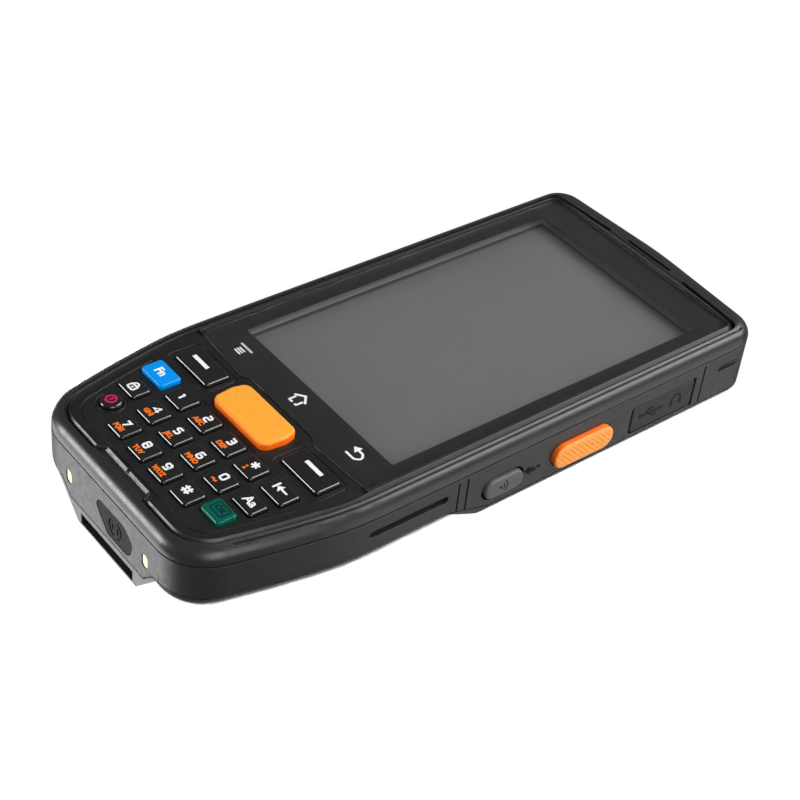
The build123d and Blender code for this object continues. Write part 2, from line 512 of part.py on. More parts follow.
# ------------------------------------------------------------------ scan head on the back
foot = rface([(-18.7, 20.9, 5.5), (18.7, 20.9, 5.5), (24.3, 57.6, 4.5), (-24.3, 57.6, 4.5)])
crown = rface([(-16.9, 20.2, 4.5), (16.9, 20.2, 4.5), (18.2, 51.2, 2.6), (-18.2, 51.2, 2.6)])
D0, D1 = 15.0, 33.0
head = loft([Plane(origin=(0, 0, -D0), x_dir=(-1, 0, 0), z_dir=(0, 0, -1)).location * foot,
             Plane(origin=(0, 0, -D1), x_dir=(-1, 0, 0), z_dir=(0, 0, -1)).location * crown], ruled=True)
TILT = math.degrees(math.atan2(2.7, 31.5))
cap_plane = Plane(origin=(0, 36.0, -29.53), x_dir=(-1, 0, 0),
                  z_dir=(0, -math.sin(math.radians(TILT)), -math.cos(math.radians(TILT))))
head = head - (cap_plane.location * Pos(0, 0, 10) * Box(90, 90, 20))
tops = [e for e in head.edges()
        if all(abs(cap_plane.to_local_coords(e.position_at(t)).Z) < 0.02 for t in (0.0, 0.5, 1.0))]
head = fillet(tops, 1.3)
head = head - outer
cavity = loft([Plane(origin=(0, 0, -17.0), x_dir=(-1, 0, 0), z_dir=(0, 0, -1)).location * rect(-15.6, 24.0, 15.6, 53.6, 2.0),
               Plane(origin=(0, 0, -26.6), x_dir=(-1, 0, 0), z_dir=(0, 0, -1)).location * rect(-14.6, 24.0, 14.6, 50.2, 2.0)],
              ruled=True)
head = head - cavity


def cprism(face, w0, w1):          # face drawn on the sloping crown: (-x, along), w outward
    return cap_plane.location * (Pos(0, 0, w0) * extrude(face, amount=w1 - w0))


# window in the scan end wall
WY, WD = 54.25, 23.6
lean = math.degrees(math.atan2(57.6 - 51.2, D1 - D0))
win_plane = Plane(origin=(0, WY, -WD), x_dir=(-1, 0, 0),
                  z_dir=(0, math.cos(math.radians(lean)), -math.sin(math.radians(lean))))


def wprism(face, w0, w1):
    return win_plane.location * (Pos(0, 0, w0) * extrude(face, amount=w1 - w0))


head = head - wprism(rect(-13.2, -3.9, 13.2, 3.9, 1.8), -0.9, 5) - wprism(rect(-12.2, -2.9, 12.2, 2.9, 1.2), -8, 5)
put("scan_window", wprism(rect(-13.1, -3.8, 13.1, 3.8, 1.7), -0.9, -0.1))
engine = box(-9.5, 40.0, -26.2, 9.5, 49.6, -18.9)
engine = engine + (Pos(-5.0, 50.1, -22.8) * Rot(90, 0, 0) * Cylinder(2.2, 1.2)) + box(1.2, 49.5, -24.8, 7.6, 50.4, -20.8)
put("scan_engine", engine)

# crown: cap plate with a sunk label field, contact field with a tongue-shaped recess
cap_f = rect(-16.7, -6.9, 16.7, 14.9, 1.0)
head = head - cprism(rect(-16.9, -7.1, 16.9, 15.1, 1.1), -1.2, 5)
capp = cprism(cap_f, -1.2, 0.35)
capp = capp - cprism(rect(-14.9, -5.6, 14.9, 13.6, 0.5), 0.1, 3)
cs = []
for x, v in ((-15.7, 13.0), (15.7, 13.0)):
    c = cprism(Pos(x * 0.93, 13.3, 0) * Face(Wire(Edge.make_circle(1.05))), -0.4, 0.75)
    cs.append(c)
for x in (-15.9, 15.9):
    c = cprism(Pos(x, -9.3, 0) * Face(Wire(Edge.make_circle(0.8))), -1.0, 0.05)
    cs.append(c)
for c in cs:
    capp = capp - c
    head = head - c
# tongue-shaped field for the pads, with a deep edge under the cap plate
head = head - cprism(rface([(-12.6, -8.9, 1.6), (-10.4, -13.2, 2.4), (10.4, -13.2, 2.4), (12.6, -8.9, 1.6),
                            (12.6, -7.0, 0.3), (-12.6, -7.0, 0.3)]), -0.45, 5)
head = head - cprism(rect(-16.6, -9.9 - 0.4, -13.4, -7.0, 0.6), -1.0, 5) - cprism(rect(13.4, -10.3, 16.6, -7.0, 0.6), -1.0, 5)
pads = []
for j, v in ((0, -10.9), (1, -8.4)):
    for i in range(5):
        c = cprism(Pos(-5.2 + 2.6 * i, v, 0) * Face(Wire(Edge.make_circle(0.95))), -0.9, -0.1)
        head = head - c
        pads.append(c)
for c in cs:
    head = head - c
put("scan_head", head)
put("scan_head_cap", capp)
put("cap_screws", group(*cs))
put("sled_contacts", group(*pads))
put("label_strip", cprism(rect(-13.8, 8.6, 13.8, 12.2, 0.2), 0.1, 0.22))

# rear camera: raised panel beside the scan head, user's left
cam_l = bprism(rface([(19.0, 17.4, 1.0), (31.4, 17.4, 1.6), (31.4, 32.6, 1.6), (27.6, 37.0, 1.6), (20.0, 37.0, 1.0)]),
               17.5, 19.0) - head - outer
cam_w = bprism(rface([(20.8, 19.8, 0.6), (27.9, 19.8, 0.6), (27.9, 34.8, 0.6), (21.6, 34.8, 0.6)]), 18.3, 19.05)
cam_l = cam_l - cam_w
cam_l = max(cam_l.solids(), key=lambda q: q.volume)
put("camera_frame", cam_l)
lens_c = Face(Wire(Edge.make_circle(1.9)))
lens = bprism(Pos(24.6, 24.0, 0) * lens_c, 18.4, 19.15)
lens = lens - bprism(Pos(24.6, 24.0, 0) * Face(Wire(Edge.make_circle(1.1))), 18.85, 40)
lamp = bprism(Pos(24.5, 31.8, 0) * rect(-1.25, -0.8, 1.25, 0.8, 0.5), 18.4, 19.12)
cam_w = cam_w - bprism(Pos(24.6, 24.0, 0) * lens_c, 18.4, 40) - bprism(
    Pos(24.5, 31.8, 0) * rect(-1.25, -0.8, 1.25, 0.8, 0.5), 18.4, 40)
put("camera_window", cam_w - head)
put("camera_lens", lens)
put("camera_lamp", lamp)

# ------------------------------------------------------------------ inner pieces
put("main_board", prism(rface(inset(OUT, WALL + 1.6)), PLATE_Z[1], PLATE_Z[1] + 1.0))
put("middle_frame", mid)

# keep the rear shell clear of the socket boss
for n in ("rear_housing",):
    NODES[n] = NODES[n] - box(25.3, y0 - 1.1, -14.8, 32.3, y1 + 1.1, 0)


# ------------------------------------------------------------------ stand upright and write
def upright(shape):
    return Pos(0, -MID_Y, -END_Y) * (Rot(90, 0, 0) * shape)


lows, highs = [], []
for name, shape in NODES.items():
    solids = [s for s in shape.solids() if s.volume > 0.02]
    out = upright(Compound(solids) if len(solids) > 1 else solids[0])
    export_step(out, "parts/%s.step" % name)
    print(name, len(solids), round(sum(s.volume for s in solids), 1))
    lows.append(out.bounding_box().min)
    highs.append(out.bounding_box().max)
print([round(min(getattr(p, a) for p in lows), 4) for a in "XYZ"],
      [round(max(getattr(p, a) for p in highs), 4) for a in "XYZ"])
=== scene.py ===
import json
import math

import bpy
from mathutils import Matrix, Quaternion, Vector


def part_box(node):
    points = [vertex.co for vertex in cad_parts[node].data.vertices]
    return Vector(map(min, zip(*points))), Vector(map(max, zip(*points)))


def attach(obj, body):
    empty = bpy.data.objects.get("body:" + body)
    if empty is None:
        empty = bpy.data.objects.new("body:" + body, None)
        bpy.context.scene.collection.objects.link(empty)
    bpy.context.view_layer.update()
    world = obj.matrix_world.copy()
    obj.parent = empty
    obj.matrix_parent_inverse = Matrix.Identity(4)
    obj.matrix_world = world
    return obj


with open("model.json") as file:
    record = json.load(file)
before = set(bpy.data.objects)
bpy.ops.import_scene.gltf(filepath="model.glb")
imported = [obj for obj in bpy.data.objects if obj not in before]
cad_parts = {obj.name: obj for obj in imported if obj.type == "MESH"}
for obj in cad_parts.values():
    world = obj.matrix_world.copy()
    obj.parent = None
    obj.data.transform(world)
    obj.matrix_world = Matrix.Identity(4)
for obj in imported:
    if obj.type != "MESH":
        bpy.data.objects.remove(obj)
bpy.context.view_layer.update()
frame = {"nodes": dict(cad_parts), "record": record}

NODES = frame["nodes"]
MM = 0.001


# ------------------------------------------------------------------ places
# Device coordinates, in mm: X to the user's right, Y towards the scan end, Z out of the screen,
# origin at the middle of the display window.  P() turns them into the row frame, in metres.
def P(x, y, z):
    return Vector((x * MM, (-z - 14.95) * MM, (y + 95.0) * MM))


def D(x, y, z):
    return Vector((x, -z, y))


FRONT = (D(1, 0, 0), D(0, 1, 0), D(0, 0, 1))        # right, up and out on the screen side
BACK = (D(-1, 0, 0), D(0, 1, 0), D(0, 0, -1))       # on the back
RIGHT = (D(0, 1, 0), D(0, 0, 1), D(1, 0, 0))        # on the user's right side, reading along +Y
LEFT = (D(0, -1, 0), D(0, 0, 1), D(-1, 0, 0))       # on the user's left side


# ------------------------------------------------------------------ materials
def nodes_of(name):
    m = bpy.data.materials.new(name)
    m.use_nodes = True
    nt = m.node_tree
    nt.nodes.clear()
    out = nt.nodes.new("ShaderNodeOutputMaterial")
    b = nt.nodes.new("ShaderNodeBsdfPrincipled")
    nt.links.new(b.outputs[0], out.inputs[0])
    return m, nt, b, out


def coords(nt):
    return nt.nodes.new("ShaderNodeTexCoord").outputs["Object"]


def noise(nt, src, scale, detail=2.0, rough=0.5, stretch=None):
    if stretch:
        mp = nt.nodes.new("ShaderNodeMapping")
        mp.inputs["Scale"].default_value = stretch
        nt.links.new(src, mp.inputs["Vector"])
        src = mp.outputs[0]
    n = nt.nodes.new("ShaderNodeTexNoise")
    n.inputs["Scale"].default_value = scale
    n.inputs["Detail"].default_value = detail
    n.inputs["Roughness"].default_value = rough
    nt.links.new(src, n.inputs["Vector"])
    return n.outputs["Fac"]


def span(nt, src, a, b, c, d):
    r = nt.nodes.new("ShaderNodeMapRange")
    r.inputs["From Min"].default_value = a
    r.inputs["From Max"].default_value = b
    r.inputs["To Min"].default_value = c
    r.inputs["To Max"].default_value = d
    nt.links.new(src, r.inputs["Value"])
    return r.outputs[0]


def mix(nt, fac, a, b):
    m = nt.nodes.new("ShaderNodeMix")
    m.data_type = "RGBA"
    for sock, val in ((m.inputs["Factor"], fac), (m.inputs["A"], a), (m.inputs["B"], b)):
        if isinstance(val, bpy.types.NodeSocket):
            nt.links.new(val, sock)
        elif isinstance(val, (int, float)):
            sock.default_value = val
        else:
            sock.default_value = (*val, 1.0)
    return m.outputs["Result"]


def math_node(nt, op, a, b=None, clamp=False):
    n = nt.nodes.new("ShaderNodeMath")
    n.operation = op
    n.use_clamp = clamp
    for i, v in enumerate((a, b)):
        if v is None:
            continue
        if isinstance(v, bpy.types.NodeSocket):
            nt.links.new(v, n.inputs[i])
        else:
            n.inputs[i].default_value = v
    return n.outputs[0]


def shade(rgb, k):
    return tuple(min(1.0, c * k) for c in rgb)


def plastic(name, rgb, rough, rvar=0.06, grain=2600.0, bump=0.25, height=0.00002, cvar=0.12,
            coat=0.0, coat_rough=0.15, spec=0.5, wear=0.0, wear_rgb=None, dust=0.0, metal=0.0, edge_mm=0.0,
            flank_shade_rgb=None, face_axis="Y"):
    """Moulded or painted surface: fine grain, slow colour drift, uneven gloss, rubbed edges."""
    m, nt, b, out = nodes_of(name)
    src = coords(nt)
    fine = noise(nt, src, grain, 3.0, 0.6)
    slow = noise(nt, src, 95.0, 4.0, 0.55)
    mid = noise(nt, src, 520.0, 3.0, 0.6)
    col = mix(nt, slow, shade(rgb, 1 - cvar), shade(rgb, 1 + cvar))
    col = mix(nt, span(nt, fine, 0.35, 0.7, 0.0, 0.35), col, shade(rgb, 1 + 2.2 * cvar))
    r = math_node(nt, "ADD", span(nt, mid, 0.3, 0.7, rough - rvar, rough + rvar),
                  span(nt, slow, 0.3, 0.7, -rvar * 0.5, rvar * 0.5), clamp=True)
    if flank_shade_rgb:
        # painted shade: the flanks are coloured deeper than the face, standing in for light scattered through the
        # translucent moulding
        gf = nt.nodes.new("ShaderNodeNewGeometry")
        sf = nt.nodes.new("ShaderNodeSeparateXYZ")
        nt.links.new(gf.outputs["Normal"], sf.inputs[0])
        flank_shade_mask = math_node(nt, "ABSOLUTE", sf.outputs[face_axis])
        col = mix(nt, span(nt, flank_shade_mask, 0.35, 0.80, 1.0, 0.0), col, flank_shade_rgb)
    if dust:
        specks = noise(nt, src, 1500.0, 1.0, 0.4)
        mask = span(nt, specks, 0.735, 0.75, 0.0, dust)
        mask = math_node(nt, "MULTIPLY", mask, span(nt, slow, 0.45, 0.6, 0.0, 1.0), clamp=True)
        col = mix(nt, mask, col, (0.30, 0.30, 0.29))
    if wear:
        bev = nt.nodes.new("ShaderNodeBevel")
        bev.samples = 3
        bev.inputs["Radius"].default_value = 0.00045
        geo = nt.nodes.new("ShaderNodeNewGeometry")
        dot = nt.nodes.new("ShaderNodeVectorMath")
        dot.operation = "DOT_PRODUCT"
        nt.links.new(bev.outputs[0], dot.inputs[0])
        nt.links.new(geo.outputs["Normal"], dot.inputs[1])
        edge = span(nt, dot.outputs["Value"], 0.995, 0.80, 0.0, wear)
        edge = math_node(nt, "MULTIPLY", edge, span(nt, mid, 0.35, 0.62, 0.25, 1.0), clamp=True)
        col = mix(nt, edge, col, wear_rgb or shade(rgb, 2.4))
        r = math_node(nt, "SUBTRACT", r, math_node(nt, "MULTIPLY", edge, 0.12), clamp=True)
    nt.links.new(col, b.inputs["Base Color"])
    nt.links.new(r, b.inputs["Roughness"])
    bp = nt.nodes.new("ShaderNodeBump")
    bp.inputs["Strength"].default_value = bump
    bp.inputs["Distance"].default_value = height
    nt.links.new(fine, bp.inputs["Height"])
    if edge_mm:
        soft = nt.nodes.new("ShaderNodeBevel")
        soft.samples = 6
        soft.inputs["Radius"].default_value = edge_mm * MM
        nt.links.new(soft.outputs[0], bp.inputs["Normal"])
    nt.links.new(bp.outputs[0], b.inputs["Normal"])
    b.inputs["Specular IOR Level"].default_value = spec
    b.inputs["Metallic"].default_value = metal
    b.inputs["Coat Weight"].default_value = coat
    b.inputs["Coat Roughness"].default_value = coat_rough
    return m


def metal(name, rgb, rough=0.25, stretch=(1.0, 1.0, 12.0), cvar=0.08, bump=0.08):
    """Plated or brushed metal."""
    m, nt, b, out = nodes_of(name)
    src = coords(nt)
    brush = noise(nt, src, 1400.0, 4.0, 0.6, stretch)
    slow = noise(nt, src, 260.0, 3.0, 0.5)
    nt.links.new(mix(nt, slow, shade(rgb, 1 - cvar), shade(rgb, 1 + cvar)), b.inputs["Base Color"])
    nt.links.new(span(nt, brush, 0.3, 0.7, rough - 0.07, rough + 0.09), b.inputs["Roughness"])
    bp = nt.nodes.new("ShaderNodeBump")
    bp.inputs["Strength"].default_value = bump
    bp.inputs["Distance"].default_value = 0.00001
    nt.links.new(brush, bp.inputs["Height"])
    nt.links.new(bp.outputs[0], b.inputs["Normal"])
    b.inputs["Metallic"].default_value = 1.0
    return m


def glass(name, tint, rough=0.02, through=(0.9, 0.9, 0.9), edge=False):
    """Clear or tinted pane; lamps reach what lies behind it."""
    m, nt, b, out = nodes_of(name)
    src = coords(nt)
    smear = noise(nt, src, 60.0, 2.0, 0.5, (1.0, 1.0, 0.35))
    nt.links.new(span(nt, smear, 0.35, 0.75, rough, rough + 0.008), b.inputs["Roughness"])
    nt.links.new(mix(nt, smear, tint, shade(tint, 0.97)), b.inputs["Base Color"])
    b.inputs["Transmission Weight"].default_value = 1.0
    b.inputs["IOR"].default_value = 1.5
    tr = nt.nodes.new("ShaderNodeBsdfTransparent")
    tr.inputs[0].default_value = (*through, 1.0)
    lp = nt.nodes.new("ShaderNodeLightPath")
    ms = nt.nodes.new("ShaderNodeMixShader")
    nt.links.new(lp.outputs["Is Shadow Ray"], ms.inputs[0])
    nt.links.new(b.outputs[0], ms.inputs[1])
    nt.links.new(tr.outputs[0], ms.inputs[2])
    # the edge faces all round are painted black, a painted shade that keeps bright glints off the edge, so no lamp
    # shines in through it
    rim = nt.nodes.new("ShaderNodeBsdfPrincipled")
    rim.inputs["Base Color"].default_value = (0.010, 0.010, 0.011, 1.0)
    rim.inputs["Roughness"].default_value = 0.3
    geo = nt.nodes.new("ShaderNodeNewGeometry")
    sep = nt.nodes.new("ShaderNodeSeparateXYZ")
    nt.links.new(geo.outputs["True Normal"], sep.inputs[0])
    side = math_node(nt, "LESS_THAN", math_node(nt, "ABSOLUTE", sep.outputs["Y"]), 0.92)
    if not edge:
        side = 0.0
    last = nt.nodes.new("ShaderNodeMixShader")
    if edge:
        nt.links.new(side, last.inputs[0])
    else:
        last.inputs[0].default_value = 0.0
    nt.links.new(ms.outputs[0], last.inputs[1])
    nt.links.new(rim.outputs[0], last.inputs[2])
    nt.links.new(last.outputs[0], out.inputs[0])
    return m


def display_material(name):
    """Unlit panel: even grey active area, a dark printed frame round it, a pale metal edge outside, painted lighter
    towards the left to lift the shade that the border casts there.
    """
    m, nt, b, out = nodes_of(name)
    src = coords(nt)
    sep = nt.nodes.new("ShaderNodeSeparateXYZ")
    nt.links.new(src, sep.inputs[0])
    ax = math_node(nt, "SUBTRACT", math_node(nt, "ABSOLUTE", sep.outputs["X"]), 26.1 * MM)
    az = math_node(nt, "SUBTRACT", math_node(nt, "ABSOLUTE", math_node(nt, "SUBTRACT", sep.outputs["Z"], 95.0 * MM)), 43.5 * MM)
    d = math_node(nt, "MAXIMUM", ax, az)
    slow = noise(nt, src, 22.0, 2.0, 0.5)
    weave = noise(nt, src, 3200.0, 1.0, 0.5)
    act = mix(nt, slow, (0.094, 0.094, 0.0943), (0.108, 0.108, 0.1083))
    act = mix(nt, span(nt, weave, 0.4, 0.6, 0.0, 0.3), act, (0.114, 0.114, 0.1143))
    frm = mix(nt, span(nt, d, 0.0, 0.0001, 0.0, 1.0), act, (0.038, 0.038, 0.039))
    # painted light: the pale edge is lighter towards the left, where the border's shadow falls on it
    painted_edge_lift = span(nt, sep.outputs["X"], -24.0 * MM, -27.0 * MM, 0.12, 0.28)
    rgb = nt.nodes.new("ShaderNodeCombineColor")
    for i in range(3):
        nt.links.new(painted_edge_lift, rgb.inputs[i])
    edg = mix(nt, span(nt, d, 0.00105, 0.00115, 0.0, 1.0), frm, rgb.outputs[0])
    nt.links.new(edg, b.inputs["Base Color"])
    nt.links.new(span(nt, slow, 0.3, 0.7, 0.5, 0.6), b.inputs["Roughness"])
    b.inputs["Specular IOR Level"].default_value = 0.25
    return m


SHELL = plastic("shell_plastic", (0.019, 0.019, 0.0195), 0.42, grain=2400.0, bump=0.35, height=0.00003, wear=0.3, edge_mm=0.25)
RIM = plastic("rim_plastic", (0.019, 0.019, 0.020), 0.32, rvar=0.05, grain=2400.0, bump=0.16, wear=0.3, edge_mm=0.12)
DECK = plastic("deck_plastic", (0.009, 0.009, 0.0095), 0.37, grain=3000.0, bump=0.3, wear=0.1, edge_mm=0.15)
COVER = plastic("cover_plastic", (0.024, 0.024, 0.025), 0.44, grain=1900.0, bump=0.45, height=0.00004, wear=0.3, dust=0.22,
                edge_mm=0.3)
BORDER = plastic("black_print", (0.008, 0.008, 0.009), 0.30, rvar=0.02, grain=900.0, bump=0.0, cvar=0.03, spec=0.2)
KEYBLACK = plastic("key_black", (0.006, 0.006, 0.0065), 0.22, rvar=0.04, grain=700.0, bump=0.03, coat=0.9,
                   coat_rough=0.12, wear=0.15)
KEYBLUE = plastic("key_blue", (0.0, 0.25, 0.74), 0.26, grain=1500.0, bump=0.03, coat=0.0, spec=0.22, wear=0.3,
                  wear_rgb=(0.0, 0.36, 1.0), cvar=0.05)
KEYTEAL = plastic("key_teal", (0.0, 0.088, 0.062), 0.22, grain=1500.0, bump=0.03, coat=0.0, spec=0.25, wear=0.4,
                  wear_rgb=(0.0, 0.20, 0.17), cvar=0.1)
# orange keys: face and flanks in two tones by facing, a painted shade for the translucent plastic
ORANGE = plastic("key_orange", (0.84, 0.345, 0.034), 0.50, grain=2300.0, bump=0.22, height=0.00003, cvar=0.04,
                 wear=0.15, wear_rgb=(0.90, 0.33, 0.04), spec=0.22, flank_shade_rgb=(0.95, 0.145, 0.004), face_axis="Y")
SIDEORANGE = plastic("side_key_orange", (0.98, 0.34, 0.055), 0.44, grain=2300.0, bump=0.22, cvar=0.04,
                     wear=0.0, spec=0.4, flank_shade_rgb=(1.0, 0.16, 0.004), face_axis="X")
GREY = plastic("side_key_grey", (0.085, 0.085, 0.087), 0.55, grain=2600.0, bump=0.3, wear=0.25, edge_mm=0.2)
RUBBER = plastic("rubber_black", (0.020, 0.020, 0.021), 0.60, grain=2800.0, bump=0.4, height=0.00003, wear=0.25, edge_mm=0.2)
PAD = plastic("pad_rubber", (0.015, 0.015, 0.016), 0.72, grain=2600.0, bump=0.5, height=0.00004, wear=0.1, spec=0.2)
GLOSS = plastic("gloss_black", (0.008, 0.008, 0.009), 0.14, rvar=0.04, grain=1200.0, bump=0.04, coat=0.4,
                coat_rough=0.08, edge_mm=0.15)
STEEL = metal("screw_steel", (0.10, 0.10, 0.105), 0.34)
BRIGHT = metal("bright_steel", (0.62, 0.62, 0.63), 0.22)
GOLD = metal("gold_plate", (0.86, 0.60, 0.22), 0.22)
SILVER = metal("silver_plate", (0.80, 0.80, 0.78), 0.20)
PADSILVER = plastic("pad_silver", (0.80, 0.80, 0.77), 0.30, rvar=0.04, grain=1500.0, bump=0.04, cvar=0.03, metal=0.35)
BOARD = plastic("board_green", (0.010, 0.085, 0.030), 0.40, grain=900.0, bump=0.15, coat=0.4)
WRAP = plastic("battery_wrap", (0.016, 0.016, 0.017), 0.34, grain=1100.0, bump=0.10, coat=0.2)
SILICONE = plastic("silicone_grey", (0.32, 0.32, 0.33), 0.60, grain=1600.0, bump=0.2)
YELLOW = plastic("strip_yellow", (0.95, 0.88, 0.045), 0.40, grain=1400.0, bump=0.08, cvar=0.04, spec=0.4)
INKWHITE = plastic("ink_white", (0.78, 0.78, 0.78), 0.45, grain=3000.0, bump=0.05, cvar=0.05, spec=0.3)
INKORANGE = plastic("ink_orange", (0.80, 0.155, 0.008), 0.45, grain=3000.0, bump=0.05, cvar=0.05, spec=0.3)
INKRED = plastic("ink_red", (0.60, 0.010, 0.065), 0.45, grain=3000.0, bump=0.05, cvar=0.05, spec=0.3)
INKTEAL = plastic("ink_dark_teal", (0.0, 0.020, 0.020), 0.40, grain=3000.0, bump=0.05, cvar=0.05, spec=0.3)
INKDARK = plastic("ink_dark", (0.006, 0.006, 0.006), 0.60, grain=3000.0, bump=0.05, spec=0.2)
INKGREY = plastic("ink_grey", (0.16, 0.16, 0.16), 0.50, grain=3000.0, bump=0.05, spec=0.3)
MOULDED = plastic("moulded_mark", (0.060, 0.060, 0.061), 0.36, grain=2400.0, bump=0.2)
PAPER = plastic("label_film", (0.55, 0.55, 0.54), 0.50, grain=1500.0, bump=0.06, cvar=0.04)
LAMP = plastic("lamp_resin", (0.85, 0.80, 0.35), 0.25, grain=1500.0, bump=0.05, coat=0.6)
LENS = plastic("lens_black", (0.004, 0.004, 0.006), 0.08, rvar=0.02, grain=900.0, bump=0.02, coat=1.0, coat_rough=0.03)
GLASS = glass("touch_glass_clear", (0.97, 0.98, 0.98), 0.012, edge=True)
REDWIN = glass("scan_window_red", (0.55, 0.03, 0.03), 0.02, (0.5, 0.05, 0.05))
PANEL = display_material("display_grey")

LOOK = {
    "front_housing": RIM, "middle_frame": SHELL, "rear_housing": RIM, "scan_head": SHELL,
    "scan_head_cap": SHELL, "camera_frame": SHELL, "speaker_cap": SHELL, "battery_cover": COVER,
    "touch_glass": GLASS, "glass_border": BORDER, "display_panel": PANEL, "keypad_deck": DECK,
    "keypad_membrane": SILICONE, "key_fn": KEYBLUE, "key_ok": KEYTEAL, "key_scan": ORANGE,
    "side_scan_right": SIDEORANGE, "side_scan_left": SIDEORANGE, "side_key_grey": GREY,
    "volume_rocker": GREY, "charging_socket": BRIGHT, "headphone_socket": GLOSS, "port_cover": RUBBER,
    "end_pad": PAD, "end_contacts": GOLD, "rear_screws": STEEL, "strap_bar": BRIGHT,
    "battery_latch": GLOSS, "latch_bar": BRIGHT, "battery": WRAP, "battery_contacts": GOLD,
    "rear_contact_base": GLOSS, "rear_contacts": GOLD, "scan_window": REDWIN, "scan_engine": GLOSS,
    "cap_screws": STEEL, "sled_contacts": PADSILVER, "label_strip": YELLOW, "camera_window": GLOSS,
    "camera_lens": LENS, "camera_lamp": LAMP, "main_board": BOARD,
}
for name, ob in NODES.items():
    look = LOOK.get(name, KEYBLACK)
    ob.data.materials.clear()
    ob.data.materials.append(look)


# ------------------------------------------------------------------ thin printed and moulded marks
BODY_OF = {}
for body, members in (frame["record"].get("behaviour") or {}).get("bodies", {}).items():
    for n in members:
        BODY_OF[n] = body


def add_piece(name, verts, faces, material, body, smooth=False):
    me = bpy.data.meshes.new(name)
    me.from_pydata([tuple(v) for v in verts], [], faces)
    me.validate()
    me.update()
    if smooth:
        for p in me.polygons:
            p.use_smooth = True
    ob = bpy.data.objects.new(name, me)
    bpy.context.scene.collection.objects.link(ob)
    me.materials.append(material)
    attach(ob, body)
    return ob


def rounded(points, r, closed=False, step=5):
    """Points of a polyline with its corners rounded to radius r."""
    n = len(points)
    out = []
    for i in range(n):
        p = Vector(points[i])
        if not closed and i in (0, n - 1):
            out.append(p)
            continue
        a, b = Vector(points[i - 1]), Vector(points[(i + 1) % n])
        da, db = (a - p), (b - p)
        la, lb = da.length, db.length
        da, db = da / la, db / lb
        cosv = max(-1.0, min(1.0, da.dot(db)))
        ang = math.acos(cosv)
        if ang > math.pi - 0.05 or r <= 0:
            out.append(p)
            continue
        t = min(r / math.tan(ang / 2), 0.48 * la, 0.48 * lb)
        rr = t * math.tan(ang / 2)
        bis = (da + db).normalized()
        c = p + bis * (rr / math.sin(ang / 2))
        s, e = p + da * t - c, p + db * t - c
        a0 = math.atan2(s.y, s.x)
        turn = (math.atan2(e.y, e.x) - a0 + math.pi) % (2 * math.pi) - math.pi
        for k in range(step + 1):
            w = a0 + turn * k / step
            out.append(c + Vector((math.cos(w), math.sin(w))) * rr)
    return out


def stroke(points, width, closed=False):
    """Outline quads of a polyline of that width: (left points, right points)."""
    n = len(points)
    left, right = [], []
    for i in range(n):
        p = points[i]
        a = points[i - 1] if (i > 0 or closed) else None
        b = points[(i + 1) % n] if (i < n - 1 or closed) else None
        d1 = (p - a).normalized() if a is not None else (b - p).normalized()
        d2 = (b - p).normalized() if b is not None else d1
        n1, n2 = Vector((-d1.y, d1.x)), Vector((-d2.y, d2.x))
        m = (n1 + n2)
        m = m.normalized() if m.length > 1e-6 else n1
        k = 1.0 / max(0.5, m.dot(n1))
        left.append(p + m * (width / 2 * k))
        right.append(p - m * (width / 2 * k))
    return left, right


